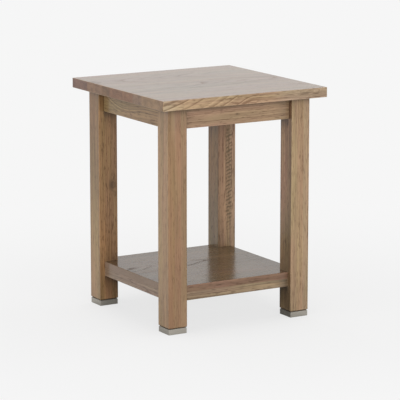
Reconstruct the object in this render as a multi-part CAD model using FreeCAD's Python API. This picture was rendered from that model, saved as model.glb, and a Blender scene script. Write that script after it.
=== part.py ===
"""End table with a low shelf: an edge-glued oak top on four square legs with metal feet.

Millimetres. X runs from left to right, Y from front to back and Z up.
The origin is on the floor, under the middle of the table.
"""

import FreeCAD
import Part
from FreeCAD import Vector

import os

# Overall size of the table
TABLE_WIDTH = 508.0
TABLE_DEPTH = 508.0
TABLE_HEIGHT = 635.0

# Top, glued up from boards of uneven width that run along X
TOP_THICKNESS = 27.0
TOP_OVERHANG = 34.0
TOP_ARRIS = 1.2
TOP_CORNER = 2.0
TOP_BOARD_PROPORTIONS = (115.0, 49.0, 128.0, 45.0, 83.0, 88.0)

# Legs, square posts with eased arrises and a chamfer round the foot
LEG_SIZE = 56.5
LEG_ARRIS = 1.5
LEG_FOOT_CHAMFER = 1.8

# Metal feet, each a square block with a narrower neck that leaves a shadow gap under the leg
FOOT_HEIGHT = 14.8
FOOT_GAP = 2.2
FOOT_INSET = 0.9
FOOT_NECK_INSET = 3.0
FOOT_ARRIS = 0.6

# Aprons, set back from the outer faces of the legs and tenoned into them
APRON_HEIGHT = 59.0
APRON_THICKNESS = 22.0
APRON_SETBACK = 16.0
APRON_ARRIS = 1.0
TENON_THICKNESS = 10.0
TENON_SHOULDER = 8.0
TENON_END_WALL = 2.0
MORTISE_CLEARANCE = 0.15

# Shelf, a glued-up panel notched round the legs, on four rails flush with its edges
SHELF_HEIGHT = 126.0
SHELF_BOARD_THICKNESS = 18.5
SHELF_SETBACK = 15.0
SHELF_ARRIS = 1.0
SHELF_NOTCH_CLEARANCE = 0.4
SHELF_BOARD_PROPORTIONS = (92.0, 74.0, 105.0, 66.0, 88.0)
SHELF_RAIL_HEIGHT = 22.5
SHELF_RAIL_THICKNESS = 24.0
SHELF_RAIL_ARRIS = 1.0

# Dowels, a pair in each end of a shelf rail
DOWEL_DIAMETER = 8.0
DOWEL_SPACING = 11.0
DOWEL_RAIL_DEPTH = 20.0
DOWEL_END_WALL = 2.0
DOWEL_CHAMFER = 0.8
DOWEL_CLEARANCE = 0.1

# Corner blocks inside the aprons, which tie two aprons together and hold the top down
CORNER_BLOCK_LENGTH = 75.0
CORNER_BLOCK_END = 12.0
CORNER_BLOCK_HEIGHT = 32.0
CORNER_BLOCK_CLEARANCE = 0.4

# Screws with a cross recess, their threads drawn as a plain shank in a close hole
SCREW_CLEARANCE = 0.1
RECESS_WIDTH = 1.1
RECESS_SPAN_OF_HEAD = 0.6
RECESS_DEPTH_OF_HEAD = 0.6
PAN_ROUNDING_OF_HEAD = 0.4
SCREW_POINT_LENGTH = 4.5
SCREW_POINT_DIAMETER = 1.0
APRON_SCREW_DIAMETER = 4.0
APRON_SCREW_HEAD = 8.0
APRON_SCREW_HEAD_HEIGHT = 2.6
APRON_SCREW_SEAT = 14.0
APRON_SCREW_BITE = 15.0
APRON_SCREW_FROM_END = 16.0
TOP_SCREW_DIAMETER = 5.0
TOP_SCREW_HEAD = 9.5
TOP_SCREW_HEAD_HEIGHT = 3.2
TOP_SCREW_BITE = 16.0
TOP_SCREW_INSET = 36.0
TOP_SCREW_SLACK = 0.6
TOP_WASHER_DIAMETER = 15.0
TOP_WASHER_THICKNESS = 1.2
SHELF_SCREW_DIAMETER = 4.0
SHELF_SCREW_HEAD = 8.0
SHELF_SCREW_HEAD_HEIGHT = 2.6
SHELF_SCREW_BITE = 10.0
SHELF_SCREW_SPREAD = 115.0
FOOT_SCREW_DIAMETER = 5.0
FOOT_SCREW_HEAD = 10.0
FOOT_SCREW_HEAD_HEIGHT = 3.2
FOOT_SCREW_BITE = 30.0
FOOT_SCREW_SUNK = 0.8

# Heights and faces that follow from the sizes above
TOP_UNDERSIDE = TABLE_HEIGHT - TOP_THICKNESS
LEG_BOTTOM = FOOT_HEIGHT + FOOT_GAP
LEG_OUTER = Vector(TABLE_WIDTH / 2 - TOP_OVERHANG, TABLE_DEPTH / 2 - TOP_OVERHANG, 0)
LEG_INNER = LEG_OUTER - Vector(LEG_SIZE, LEG_SIZE, 0)
LEG_CENTRE = LEG_OUTER - Vector(LEG_SIZE / 2, LEG_SIZE / 2, 0)
APRON_BOTTOM = TOP_UNDERSIDE - APRON_HEIGHT
APRON_OUTER = LEG_OUTER - Vector(APRON_SETBACK, APRON_SETBACK, 0)
APRON_INNER = APRON_OUTER - Vector(APRON_THICKNESS, APRON_THICKNESS, 0)
APRON_CENTRE = (APRON_OUTER + APRON_INNER) * 0.5
TENON_LENGTH = LEG_SIZE - APRON_SETBACK - (APRON_THICKNESS + TENON_THICKNESS) / 2 - TENON_END_WALL
SHELF_UNDERSIDE = SHELF_HEIGHT - SHELF_BOARD_THICKNESS
SHELF_RAIL_BOTTOM = SHELF_UNDERSIDE - SHELF_RAIL_HEIGHT
SHELF_OUTER = LEG_OUTER - Vector(SHELF_SETBACK, SHELF_SETBACK, 0)
SHELF_RAIL_INNER = SHELF_OUTER - Vector(SHELF_RAIL_THICKNESS, SHELF_RAIL_THICKNESS, 0)
SHELF_RAIL_CENTRE = (SHELF_OUTER + SHELF_RAIL_INNER) * 0.5
DOWEL_LEG_DEPTH = (LEG_SIZE - SHELF_SETBACK - SHELF_RAIL_THICKNESS / 2
                   - (DOWEL_SPACING + DOWEL_DIAMETER) / 2 - DOWEL_END_WALL)

# The four corners as (side, end), with -1 for left and front and +1 for right and back
CORNERS = {
    "front_left": (-1, -1),
    "front_right": (1, -1),
    "back_left": (-1, 1),
    "back_right": (1, 1),
}
UP = Vector(0, 0, 1)
ALONG_X = Vector(1, 0, 0)
ALONG_Y = Vector(0, 1, 0)


def box_between(x, y, z):
    """Box between two values on each axis, given in either order."""
    low = Vector(min(x), min(y), min(z))
    high = Vector(max(x), max(y), max(z))
    size = high - low
    return Part.makeBox(size.x, size.y, size.z, low)


def edges_along(shape, axis):
    """Straight edges of a shape that run along an axis."""
    found = []
    for edge in shape.Edges:
        run = edge.Vertexes[-1].Point - edge.Vertexes[0].Point
        if run.Length > 0 and abs(run.normalize().dot(axis)) > 0.999:
            found.append(edge)
    return found


def edges_at_height(shape, height):
    """Edges of a shape that lie level at a height."""
    found = []
    for edge in shape.Edges:
        bounds = edge.BoundBox
        if abs(bounds.ZMin - height) < 1e-6 and abs(bounds.ZMax - height) < 1e-6:
            found.append(edge)
    return found


def pointing(shape, start, direction):
    """Shape made along +Z from the origin, moved to a start point and turned to a direction."""
    placed = shape.copy()
    placed.Placement = FreeCAD.Placement(start, FreeCAD.Rotation(UP, direction))
    return placed


def cross_recess(head_diameter, head_height):
    """Cross-shaped cutter for a screw head whose outer face is at Z = 0."""
    depth = head_height * RECESS_DEPTH_OF_HEAD
    reach = head_diameter * RECESS_SPAN_OF_HEAD / 2
    half = RECESS_WIDTH / 2
    one = box_between((-reach, reach), (-half, half), (0, depth))
    other = box_between((-half, half), (-reach, reach), (0, depth))
    return one.fuse(other)


def shank_to_point(diameter, length, gap=0.0):
    """Plain shank and point of a screw along +Z, ending at the length, or their hole with a gap."""
    straight = length - SCREW_POINT_LENGTH + gap
    shank = Part.makeCylinder(diameter / 2 + gap, straight)
    end = SCREW_POINT_DIAMETER / 2 + gap
    return shank.fuse(Part.makeCone(diameter / 2 + gap, end, SCREW_POINT_LENGTH, UP * straight))


def pan_screw(diameter, head_diameter, head_height, length):
    """Pan-headed screw along +Z: the head's underside is at Z = 0 and the tip at the length."""
    head = Part.makeCylinder(head_diameter / 2, head_height, UP * -head_height)
    head = head.makeFillet(head_height * PAN_ROUNDING_OF_HEAD, edges_at_height(head, -head_height))
    recess = cross_recess(head_diameter, head_height)
    recess.translate(UP * -head_height)
    return head.fuse(shank_to_point(diameter, length)).cut(recess).removeSplitter()


def flat_screw(diameter, head_diameter, head_height, length, gap=0.0):
    """Countersunk screw along +Z with its head's face at Z = 0, or its hole when a gap is given."""
    head = Part.makeCone(head_diameter / 2 + gap, diameter / 2 + gap, head_height)
    screw = head.fuse(shank_to_point(diameter, length, gap))
    if gap:
        return screw.removeSplitter()
    return screw.cut(cross_recess(head_diameter, head_height)).removeSplitter()


def top_slab():
    """The whole top before it is divided into boards: a slab with eased edges and screw holes below."""
    half_width, half_depth = TABLE_WIDTH / 2, TABLE_DEPTH / 2
    slab = box_between((-half_width, half_width), (-half_depth, half_depth), (TOP_UNDERSIDE, TABLE_HEIGHT))
    slab = slab.makeFillet(TOP_CORNER, edges_along(slab, UP))
    rims = edges_at_height(slab, TABLE_HEIGHT) + edges_at_height(slab, TOP_UNDERSIDE)
    slab = slab.makeFillet(TOP_ARRIS, rims)
    for side, end in CORNERS.values():
        hole = Part.makeCylinder(TOP_SCREW_DIAMETER / 2 + SCREW_CLEARANCE, TOP_SCREW_BITE + SCREW_CLEARANCE)
        hole.translate(top_screw_place(side, end) + Vector(0, 0, TOP_UNDERSIDE))
        slab = slab.cut(hole)
    return slab


def boards_of(panel, proportions):
    """A panel cut along X into boards, from front to back, whose widths keep to the proportions."""
    bounds = panel.BoundBox
    scale = bounds.YLength / sum(proportions)
    boards = []
    front = bounds.YMin
    for share in proportions:
        back = front + share * scale
        strip = box_between((bounds.XMin, bounds.XMax), (front, back), (bounds.ZMin, bounds.ZMax))
        boards.append(panel.common(strip))
        front = back
    return boards


def tenon(corner, runs_along_x, gap=0.0):
    """Tenon of one apron in the leg at a corner, or the mortise that takes it when a gap is given."""
    side, end = corner
    half = TENON_THICKNESS / 2 + gap
    low, high = APRON_BOTTOM + TENON_SHOULDER - gap, TOP_UNDERSIDE - TENON_SHOULDER + gap
    if runs_along_x:
        x = (side * LEG_INNER.x, side * (LEG_INNER.x + TENON_LENGTH + gap))
        y = (end * APRON_CENTRE.y - half, end * APRON_CENTRE.y + half)
    else:
        x = (side * APRON_CENTRE.x - half, side * APRON_CENTRE.x + half)
        y = (end * LEG_INNER.y, end * (LEG_INNER.y + TENON_LENGTH + gap))
    return box_between(x, y, (low, high))


def dowel_places(corner, runs_along_x):
    """Points on a leg's inner face where the two dowels of a rail cross it, and the way into the leg."""
    side, end = corner
    level = SHELF_RAIL_BOTTOM + SHELF_RAIL_HEIGHT / 2
    places = []
    for step in (-DOWEL_SPACING / 2, DOWEL_SPACING / 2):
        if runs_along_x:
            places.append(Vector(side * LEG_INNER.x, end * (SHELF_RAIL_CENTRE.y + step), level))
        else:
            places.append(Vector(side * (SHELF_RAIL_CENTRE.x + step), end * LEG_INNER.y, level))
    inward = ALONG_X * side if runs_along_x else ALONG_Y * end
    return places, inward


def dowels(corner, runs_along_x, gap=0.0):
    """The two dowels that join a rail to a leg, or their holes when a gap is given."""
    places, inward = dowel_places(corner, runs_along_x)
    length = DOWEL_RAIL_DEPTH + DOWEL_LEG_DEPTH + 2 * gap
    pin = Part.makeCylinder(DOWEL_DIAMETER / 2 + gap, length)
    if not gap:
        pin = pin.makeChamfer(DOWEL_CHAMFER, edges_at_height(pin, 0) + edges_at_height(pin, length))
    return [pointing(pin, place - inward * (DOWEL_RAIL_DEPTH + gap), inward) for place in places]


def foot_screw_start(side, end):
    """Middle of a foot screw's head, a little above the floor."""
    return Vector(side * LEG_CENTRE.x, end * LEG_CENTRE.y, FOOT_SCREW_SUNK)


def foot_screw(side, end, gap=0.0):
    """Screw that goes up through a foot into its leg, or its hole when a gap is given."""
    length = LEG_BOTTOM + FOOT_SCREW_BITE - FOOT_SCREW_SUNK
    shape = flat_screw(FOOT_SCREW_DIAMETER, FOOT_SCREW_HEAD, FOOT_SCREW_HEAD_HEIGHT, length, gap)
    return pointing(shape, foot_screw_start(side, end), UP)


def leg(corner):
    """Square post with a mortise for each apron, dowel holes for each rail and a pilot hole below."""
    side, end = corner
    x = (side * LEG_INNER.x, side * LEG_OUTER.x)
    y = (end * LEG_INNER.y, end * LEG_OUTER.y)
    blank = box_between(x, y, (LEG_BOTTOM, TOP_UNDERSIDE))
    footed = blank.makeChamfer(LEG_FOOT_CHAMFER, edges_at_height(blank, LEG_BOTTOM))
    post = blank.makeFillet(LEG_ARRIS, edges_along(blank, UP)).common(footed)
    for runs_along_x in (True, False):
        post = post.cut(tenon(corner, runs_along_x, MORTISE_CLEARANCE))
        post = post.cut(dowels(corner, runs_along_x, DOWEL_CLEARANCE))
    return post.cut(foot_screw(side, end, SCREW_CLEARANCE))


def foot(corner):
    """Metal block under a leg, with a neck on top and a countersunk hole for its screw."""
    side, end = corner

    def square(inset, low, high):
        x = (side * (LEG_INNER.x + inset), side * (LEG_OUTER.x - inset))
        y = (end * (LEG_INNER.y + inset), end * (LEG_OUTER.y - inset))
        return box_between(x, y, (low, high))

    block = square(FOOT_INSET, 0, FOOT_HEIGHT)
    block = block.makeFillet(FOOT_ARRIS, block.Edges)
    shape = block.fuse(square(FOOT_NECK_INSET, FOOT_HEIGHT, LEG_BOTTOM))
    well = Part.makeCylinder(FOOT_SCREW_HEAD / 2 + SCREW_CLEARANCE, FOOT_SCREW_SUNK)
    well.translate(foot_screw_start(side, end) - UP * FOOT_SCREW_SUNK)
    return shape.cut([foot_screw(side, end, SCREW_CLEARANCE), well]).removeSplitter()


def beam(along_x, place, reach, thickness, low, high, arris):
    """Bar between two legs, centred on the other axis at a place, with its lower long edges eased."""
    across = (place - thickness / 2, place + thickness / 2)
    x, y = ((-reach, reach), across) if along_x else (across, (-reach, reach))
    bar = box_between(x, y, (low, high))
    run = ALONG_X if along_x else ALONG_Y
    lower = [edge for edge in edges_along(bar, run) if edge.BoundBox.ZMin < (low + high) / 2]
    return bar.makeFillet(arris, lower)


def apron(runs_along_x, sign):
    """Apron under the top, with a tenon at each end and pilot holes for the corner block screws."""
    if runs_along_x:
        place, reach = sign * APRON_CENTRE.y, LEG_INNER.x
    else:
        place, reach = sign * APRON_CENTRE.x, LEG_INNER.y
    bar = beam(runs_along_x, place, reach, APRON_THICKNESS, APRON_BOTTOM, TOP_UNDERSIDE, APRON_ARRIS)
    ends = [(other, sign) if runs_along_x else (sign, other) for other in (-1, 1)]
    bar = bar.fuse([tenon(corner, runs_along_x) for corner in ends])
    for corner in ends:
        seat, inward = apron_screw_seat(corner, runs_along_x)
        length = APRON_SCREW_SEAT + APRON_SCREW_BITE + SCREW_CLEARANCE
        pilot = Part.makeCylinder(APRON_SCREW_DIAMETER / 2 + SCREW_CLEARANCE, length)
        bar = bar.cut(pointing(pilot, seat, inward))
    return bar


def shelf_rail(runs_along_x, sign):
    """Rail under an edge of the shelf, with dowel holes in its ends and holes for the shelf screws."""
    if runs_along_x:
        place, reach = sign * SHELF_RAIL_CENTRE.y, LEG_INNER.x
    else:
        place, reach = sign * SHELF_RAIL_CENTRE.x, LEG_INNER.y
    bar = beam(runs_along_x, place, reach, SHELF_RAIL_THICKNESS,
               SHELF_RAIL_BOTTOM, SHELF_UNDERSIDE, SHELF_RAIL_ARRIS)
    for other in (-1, 1):
        corner = (other, sign) if runs_along_x else (sign, other)
        bar = bar.cut(dowels(corner, runs_along_x, DOWEL_CLEARANCE))
    return bar.cut(shelf_screws_of(runs_along_x, sign, SCREW_CLEARANCE))


def shelf_screws_of(runs_along_x, sign, gap=0.0):
    """Screws that go up through one rail into the shelf boards, or their holes when a gap is given."""
    length = SHELF_RAIL_HEIGHT + SHELF_SCREW_BITE
    shape = flat_screw(SHELF_SCREW_DIAMETER, SHELF_SCREW_HEAD, SHELF_SCREW_HEAD_HEIGHT, length, gap)
    screws = []
    for along in (-SHELF_SCREW_SPREAD, 0, SHELF_SCREW_SPREAD):
        start = Vector(along, sign * SHELF_RAIL_CENTRE.y, SHELF_RAIL_BOTTOM)
        if not runs_along_x:
            start = Vector(sign * SHELF_RAIL_CENTRE.x, along, SHELF_RAIL_BOTTOM)
        screws.append(pointing(shape, start, UP))
    return screws


def shelf_panel():
    """The whole shelf before it is divided into boards, notched round the legs, with screw holes below."""
    x, y = (-SHELF_OUTER.x, SHELF_OUTER.x), (-SHELF_OUTER.y, SHELF_OUTER.y)
    panel = box_between(x, y, (SHELF_UNDERSIDE, SHELF_HEIGHT))
    panel = panel.makeFillet(SHELF_ARRIS, edges_at_height(panel, SHELF_HEIGHT))
    for side, end in CORNERS.values():
        notch_x = (side * (LEG_INNER.x - SHELF_NOTCH_CLEARANCE), side * LEG_OUTER.x)
        notch_y = (end * (LEG_INNER.y - SHELF_NOTCH_CLEARANCE), end * LEG_OUTER.y)
        panel = panel.cut(box_between(notch_x, notch_y, (SHELF_UNDERSIDE, SHELF_HEIGHT)))
    for runs_along_x in (True, False):
        for sign in (-1, 1):
            panel = panel.cut(shelf_screws_of(runs_along_x, sign, SCREW_CLEARANCE))
    return panel


def from_apron_corner(side, end, along, across, height):
    """Point measured inwards from where the inner faces of two aprons would meet."""
    return Vector(side * (APRON_INNER.x - along), end * (APRON_INNER.y - across), height)


def top_screw_place(side, end):
    """Where the screw that holds the top stands at a corner, seen from above."""
    return from_apron_corner(side, end, TOP_SCREW_INSET, TOP_SCREW_INSET, 0)


def apron_screw_seat(corner, runs_along_x):
    """Where a corner block screw's head bears inside its block, and the way it points, into its apron."""
    side, end = corner
    level = TOP_UNDERSIDE - CORNER_BLOCK_HEIGHT / 2
    far = CORNER_BLOCK_LENGTH - APRON_SCREW_FROM_END
    if runs_along_x:
        return from_apron_corner(side, end, far, APRON_SCREW_SEAT, level), ALONG_Y * end
    return from_apron_corner(side, end, APRON_SCREW_SEAT, far, level), ALONG_X * side


def corner_block(corner):
    """Block across the corner of two aprons, cut back round the leg and bored for its screws."""
    side, end = corner
    bottom = TOP_UNDERSIDE - CORNER_BLOCK_HEIGHT
    outline = [
        (0, 0),
        (CORNER_BLOCK_LENGTH, 0),
        (CORNER_BLOCK_LENGTH, CORNER_BLOCK_END),
        (CORNER_BLOCK_END, CORNER_BLOCK_LENGTH),
        (0, CORNER_BLOCK_LENGTH),
    ]
    points = [from_apron_corner(side, end, along, across, bottom) for along, across in outline]
    face = Part.Face(Part.makePolygon(points + points[:1]))
    block = face.extrude(UP * CORNER_BLOCK_HEIGHT)
    gap = CORNER_BLOCK_CLEARANCE
    leg_x = (side * (LEG_INNER.x - gap), side * LEG_OUTER.x)
    leg_y = (end * (LEG_INNER.y - gap), end * LEG_OUTER.y)
    block = block.cut(box_between(leg_x, leg_y, (bottom, TOP_UNDERSIDE)))
    for runs_along_x in (True, False):
        seat, inward = apron_screw_seat(corner, runs_along_x)
        shank = Part.makeCylinder(APRON_SCREW_DIAMETER / 2 + SCREW_CLEARANCE, APRON_SCREW_SEAT)
        well = Part.makeCylinder(APRON_SCREW_HEAD / 2 + SCREW_CLEARANCE, CORNER_BLOCK_LENGTH)
        block = block.cut([pointing(shank, seat, inward), pointing(well, seat, inward * -1)])
    slot = Part.makeCylinder(TOP_SCREW_DIAMETER / 2 + TOP_SCREW_SLACK, CORNER_BLOCK_HEIGHT)
    slot.translate(top_screw_place(side, end) + UP * bottom)
    return block.cut(slot)


def apron_screws():
    """Screws that hold the corner blocks to the aprons, two to a block."""
    length = APRON_SCREW_SEAT + APRON_SCREW_BITE
    shape = pan_screw(APRON_SCREW_DIAMETER, APRON_SCREW_HEAD, APRON_SCREW_HEAD_HEIGHT, length)
    return [pointing(shape, *apron_screw_seat(corner, along_x))
            for corner in CORNERS.values() for along_x in (True, False)]


def top_screws():
    """Screws that go up through the corner blocks into the top, and the washers under their heads."""
    under_block = TOP_UNDERSIDE - CORNER_BLOCK_HEIGHT
    length = TOP_WASHER_THICKNESS + CORNER_BLOCK_HEIGHT + TOP_SCREW_BITE
    shape = pan_screw(TOP_SCREW_DIAMETER, TOP_SCREW_HEAD, TOP_SCREW_HEAD_HEIGHT, length)
    ring = Part.makeCylinder(TOP_WASHER_DIAMETER / 2, TOP_WASHER_THICKNESS)
    bore = Part.makeCylinder(TOP_SCREW_DIAMETER / 2 + SCREW_CLEARANCE, TOP_WASHER_THICKNESS)
    ring = ring.cut(bore)
    screws, washers = [], []
    for side, end in CORNERS.values():
        place = top_screw_place(side, end) + UP * (under_block - TOP_WASHER_THICKNESS)
        screws.append(pointing(shape, place, UP))
        washers.append(pointing(ring, place, UP))
    return screws, washers


def table():
    """Every piece of the table by name. A group of like fasteners is one compound of separate solids."""
    pieces = {}
    for number, board in enumerate(boards_of(top_slab(), TOP_BOARD_PROPORTIONS), 1):
        pieces[f"top_board_{number}"] = board
    for number, board in enumerate(boards_of(shelf_panel(), SHELF_BOARD_PROPORTIONS), 1):
        pieces[f"shelf_board_{number}"] = board
    for name, corner in CORNERS.items():
        pieces[f"leg_{name}"] = leg(corner)
        pieces[f"foot_{name}"] = foot(corner)
        pieces[f"corner_block_{name}"] = corner_block(corner)
    bars = {"front": (True, -1), "back": (True, 1), "left": (False, -1), "right": (False, 1)}
    for name, (runs_along_x, sign) in bars.items():
        pieces[f"apron_{name}"] = apron(runs_along_x, sign)
        pieces[f"shelf_rail_{name}"] = shelf_rail(runs_along_x, sign)
    screws, washers = top_screws()
    pieces["top_screws"] = Part.makeCompound(screws)
    pieces["top_screw_washers"] = Part.makeCompound(washers)
    pieces["corner_block_screws"] = Part.makeCompound(apron_screws())
    pieces["shelf_screws"] = Part.makeCompound(
        [screw for bar in bars.values() for screw in shelf_screws_of(*bar)])
    pieces["shelf_rail_dowels"] = Part.makeCompound(
        [pin for corner in CORNERS.values() for along_x in (True, False) for pin in dowels(corner, along_x)])
    pieces["foot_screws"] = Part.makeCompound([foot_screw(*corner) for corner in CORNERS.values()])
    return pieces


os.makedirs("parts", exist_ok=True)
for piece_name, piece in table().items():
    piece.exportStep(os.path.join("parts", piece_name + ".step"))
    print(piece_name, len(piece.Solids), piece.isValid(), round(piece.Volume / 1000, 2), "cm3")
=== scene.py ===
import math

import bpy
from mathutils import Euler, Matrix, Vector


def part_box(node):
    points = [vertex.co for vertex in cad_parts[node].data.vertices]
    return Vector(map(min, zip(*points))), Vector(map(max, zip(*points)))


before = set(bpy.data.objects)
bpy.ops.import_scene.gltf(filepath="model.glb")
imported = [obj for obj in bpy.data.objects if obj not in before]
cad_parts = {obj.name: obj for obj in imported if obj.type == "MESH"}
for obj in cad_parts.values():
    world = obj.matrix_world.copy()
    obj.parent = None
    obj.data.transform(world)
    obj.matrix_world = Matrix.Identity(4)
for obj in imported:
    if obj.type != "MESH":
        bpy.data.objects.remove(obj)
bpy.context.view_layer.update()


# Legs. Four square oak posts, each glued up from three staves side by side with a thin facing on each flank,
# planed, eased along the arrises, stained grey-brown and lacquered to a satin sheen.
# Aprons are tenoned and shelf rails dowelled into them, and a metal foot is screwed under each.

class Number:
    """A number that a material works out at each point. Signs and methods on it add nodes to the material,
    so that a formula reads as plain arithmetic."""
    kind = "ShaderNodeMath"

    def __init__(self, socket):
        self.socket = socket
        self.tree = socket.id_data

    def step(self, operation, *values):
        """One step of arithmetic, on numbers or on threes of numbers."""
        return type(self)(add_node(self.tree, self.kind, *values, operation=operation))

    def __add__(self, other):
        return self.step("ADD", self, other)

    def __sub__(self, other):
        return self.step("SUBTRACT", self, other)

    def __rsub__(self, other):
        return self.step("SUBTRACT", other, self)

    def __mul__(self, other):
        return self.step("MULTIPLY", self, other)

    def __truediv__(self, other):
        return self.step("DIVIDE", self, other)

    def __pow__(self, power):
        return self.step("POWER", self, power)

    def __abs__(self):
        return self.step("ABSOLUTE", self)

    def __gt__(self, limit):
        return self.step("GREATER_THAN", self, limit)

    def __lt__(self, limit):
        return self.step("LESS_THAN", self, limit)

    def at_least(self, least):
        """The larger of two numbers."""
        return self.step("MAXIMUM", self, least)

    def at_most(self, most, blend=0.0):
        """The smaller of two numbers, with the turn from one to the other rounded over a blend."""
        return self.step("SMOOTH_MIN", self, most, blend)

    def whole(self):
        """The whole number below it."""
        return self.step("FLOOR", self)

    def fraction(self):
        """What it has above a whole number."""
        return self.step("FRACT", self)

    def off_whole(self):
        """How far it is from the nearest whole number."""
        return self.step("PINGPONG", self, 0.5)

    def cosine(self):
        """The cosine of it, read as an angle in radians."""
        return self.step("COSINE", self)

    def angle(self, along):
        """The angle of a point that lies this far up and so far along."""
        return self.step("ARCTAN2", self, along)

    def bell(self):
        """1 where the number is nil, falling off on both sides as e to the power of minus its square."""
        return self.step("EXPONENT", self * self * -1.0)

    def ramp(self, start, end, low=0.0, high=1.0):
        """Carried smoothly from low to high as the number goes from start to end, and held outside."""
        smooth = {"interpolation_type": "SMOOTHSTEP"}
        return Number(add_node(self.tree, "ShaderNodeMapRange", self, start, end, low, high, **smooth))

    def waver(self, waves, detail=1.0):
        """Noise from 0 to 1 along the number, with so many waves to the unit."""
        return Number(add_node(self.tree, "ShaderNodeTexNoise", self, waves, detail, noise_dimensions="1D"))

    def times(self, direction):
        """The place that is this many times a direction."""
        return Triple(add_node(self.tree, "ShaderNodeVectorMath", direction, self, operation="SCALE"))


class Triple(Number):
    """Three numbers that a material works out at each point: a place, a direction or a colour."""
    kind = "ShaderNodeVectorMath"

    def parts(self):
        """Its three numbers."""
        return [Number(socket) for socket in add_node(self.tree, "ShaderNodeSeparateXYZ", self).node.outputs]

    def dot(self, other):
        """The sum of the products of its numbers with another's."""
        return Number(add_node(self.tree, self.kind, self, other, operation="DOT_PRODUCT"))

    def length(self):
        """How far the place is from nil."""
        return Number(add_node(self.tree, self.kind, self, operation="LENGTH"))

    def noise(self, waves, detail=2.0, roughness=0.5):
        """Noise from 0 to 1 over the place, with so many waves to the metre along each axis."""
        return Number(add_node(self.tree, "ShaderNodeTexNoise", self * waves, 1.0, detail, roughness))

    def wander(self, waves, reach, detail=3.0):
        """The place moved about by noise, up to half a reach either way along each axis."""
        cloud = add_node(self.tree, "ShaderNodeTexNoise", self * waves, 1.0, detail).node.outputs["Color"]
        return self + (Triple(cloud) - 0.5) * reach

    def hump(self, centre, reach):
        """1 at a centre, falling off as a bell over the distance counted in reaches along each axis."""
        return ((self - centre) / reach).length().bell()


def plug(socket, value):
    """Gives a socket its value: a worked-out one is linked and a plain one is set. One plain number fills
    all the parts of a socket, and a colour written as three numbers is opaque."""
    if isinstance(value, Number):
        socket.id_data.links.new(value.socket, socket)
        return
    size = len(socket.default_value) if hasattr(socket.default_value, "__len__") else 0
    if size and isinstance(value, (int, float)):
        value = [value] * size
    elif size == 4 and len(value) == 3:
        value = (*value, 1.0)
    socket.default_value = value


def add_node(tree, kind, *values, **settings):
    """The first output of a new node. Settings are its properties, and values go to its inputs in order,
    where None leaves an input as it is."""
    node = tree.nodes.new(kind)
    for key, value in settings.items():
        setattr(node, key, value)
    for socket, value in zip([socket for socket in node.inputs if socket.enabled], values):
        if value is not None:
            plug(socket, value)
    return next(socket for socket in node.outputs if socket.enabled)


def mixed(share, under, over):
    """One colour with a share of another over it."""
    tree = next(value.tree for value in (share, under, over) if isinstance(value, Number))
    return Triple(add_node(tree, "ShaderNodeMix", share, under, over, data_type="RGBA"))


# A span is the stretch of a noise over which its mark comes up from nothing to full strength.
NOISE_SPAN = (0.3, 0.7)
YEARS_STRAY = 2.0
YEAR_STRENGTHS = (0.3, 1.0)
EARLY_STARTS = 0.08
EARLY_FADES = 2.2
BAND_SPAN = (0.32, 0.68)
BANDS_SHOW = 0.16
FIBRES_SHOW = 0.36
DASH_SPAN = (0.53, 0.68)
DASHES_SHOW = 0.50
PORE_SPAN = (0.56, 0.70)
PORES_SHOW = 0.25
PORES_IN_LATE_WOOD = 0.2
RAY_TURN = 0.12
RAY_SPAN = (0.60, 0.72)
BLUSH_SHIFT = (3.7, 0.2, 0.3)
BLUSH_SPAN = (0.34, 0.66)


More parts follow.
